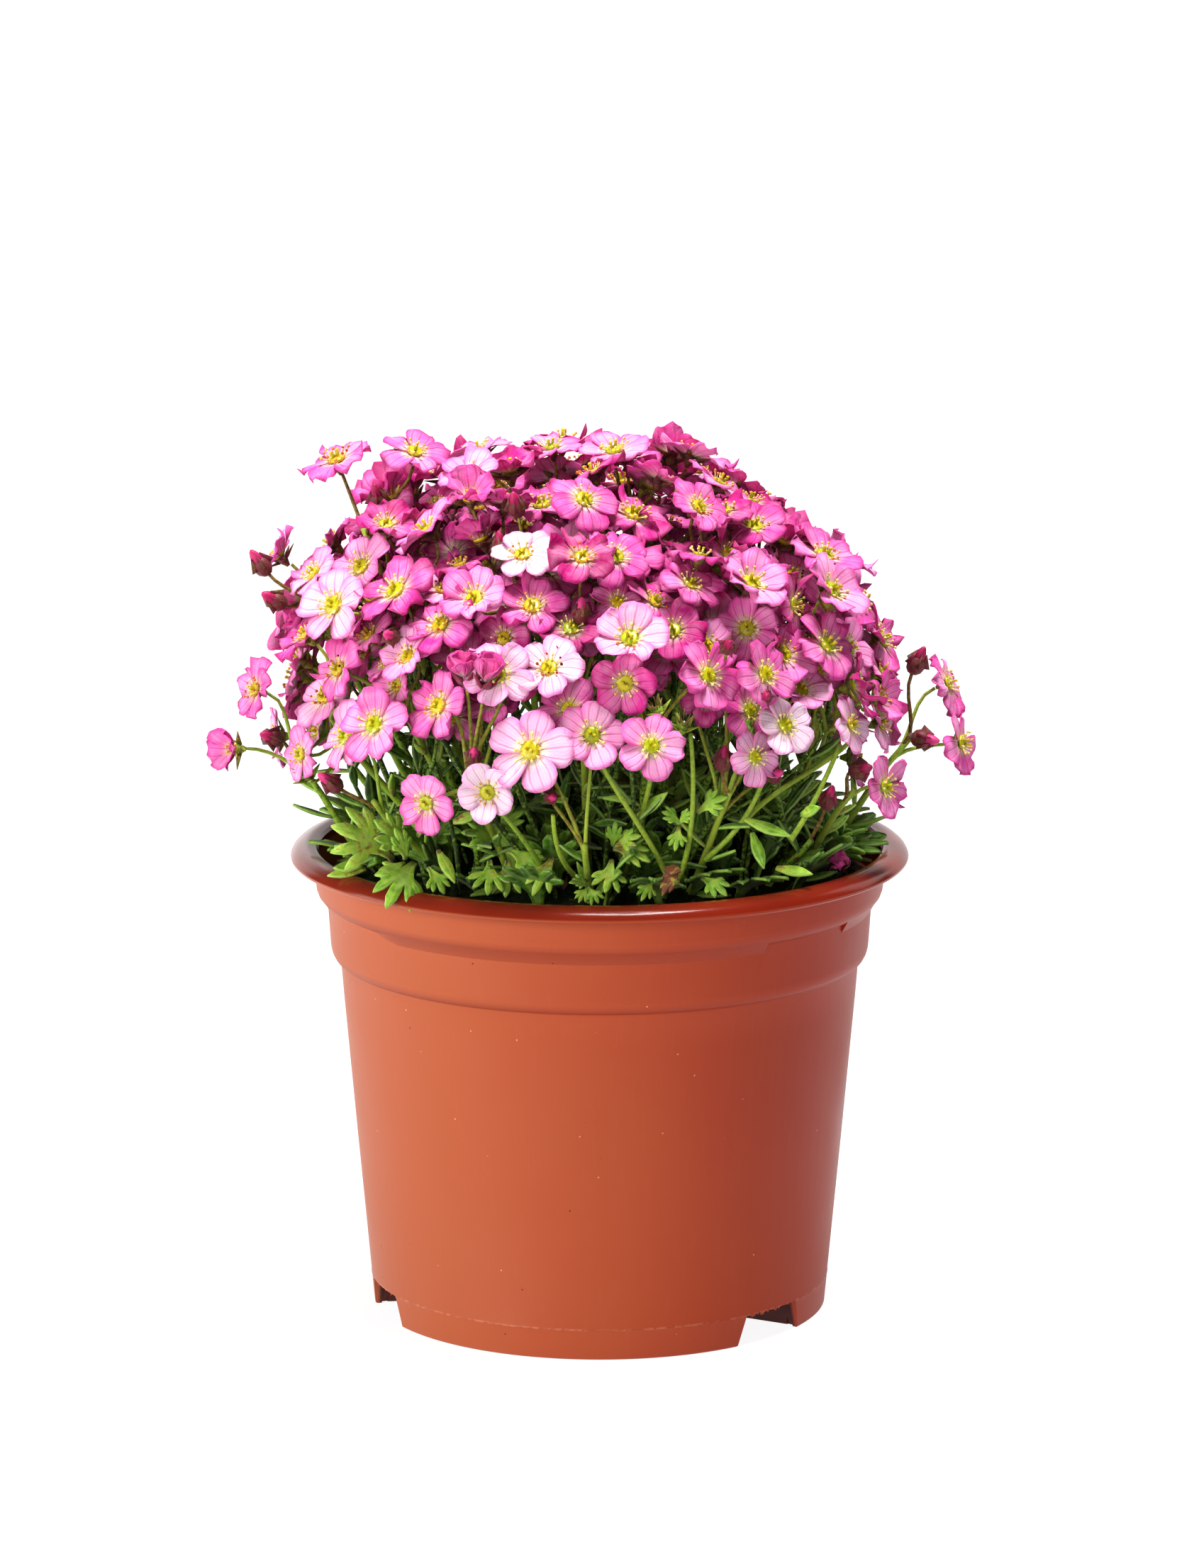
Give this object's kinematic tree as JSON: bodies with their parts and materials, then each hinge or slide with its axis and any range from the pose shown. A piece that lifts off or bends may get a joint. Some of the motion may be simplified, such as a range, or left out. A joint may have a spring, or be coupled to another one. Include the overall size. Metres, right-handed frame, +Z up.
{
  "type": "potted mossy saxifrage",
  "caption": "Mossy saxifrage in a round plastic pot: a dome of five-petalled pink blooms on thin stems over a low cushion of lobed leaves.",
  "frame": {"origin": "on the ground under the pot's axis, level with the underside of its feet", "axes": "+Z up along the pot's axis; -Y towards the side that the picture shows; +X to that side's right"},
  "size_m": [0.1469, 0.1266, 0.1716],
  "materials": {
    "pot": "terracotta-coloured moulded polypropylene, satin, with dust and soil specks",
    "soil": "damp peat compost with fibres and bark, matt",
    "foliage": "soft lobed leaves and thin hairy stems, slightly waxy",
    "blooms": "thin satin petals, orchid pink with darker veins and a pale centre"
  },
  "bodies": {
    "root": {"pot": "pot", "soil": "soil", "cushion_01": "foliage", "cushion_02": "foliage", "cushion_03": "foliage", "cushion_04": "foliage", "cushion_05": "foliage", "cushion_06": "foliage", "cushion_07": "foliage", "cushion_08": "foliage", "cushion_crown": "foliage", "spray_01": "blooms", "spray_02": "blooms", "spray_03": "blooms", "spray_04": "blooms", "spray_05": "blooms", "spray_06": "blooms", "spray_07": "blooms", "spray_08": "blooms", "spray_09": "blooms", "spray_10": "blooms", "spray_11": "blooms", "spray_12": "blooms", "spray_13": "blooms", "spray_14": "blooms", "spray_15": "blooms", "spray_16": "blooms", "spray_17": "blooms", "spray_18": "blooms", "spray_19": "blooms", "spray_20": "blooms", "spray_21": "blooms", "spray_22": "blooms", "spray_23": "blooms", "spray_24": "blooms", "spray_25": "blooms", "spray_26": "blooms", "spray_27": "blooms", "spray_28": "blooms", "spray_29": "blooms", "spray_30": "blooms", "spray_31": "blooms", "spray_32": "blooms", "spray_33": "blooms", "spray_34": "blooms", "spray_35": "blooms", "spray_36": "blooms", "spray_37": "blooms", "spray_38": "blooms", "spray_39": "blooms", "spray_40": "blooms", "spray_41": "blooms", "spray_42": "blooms", "spray_43": "blooms"}
  },
  "joints": []
}
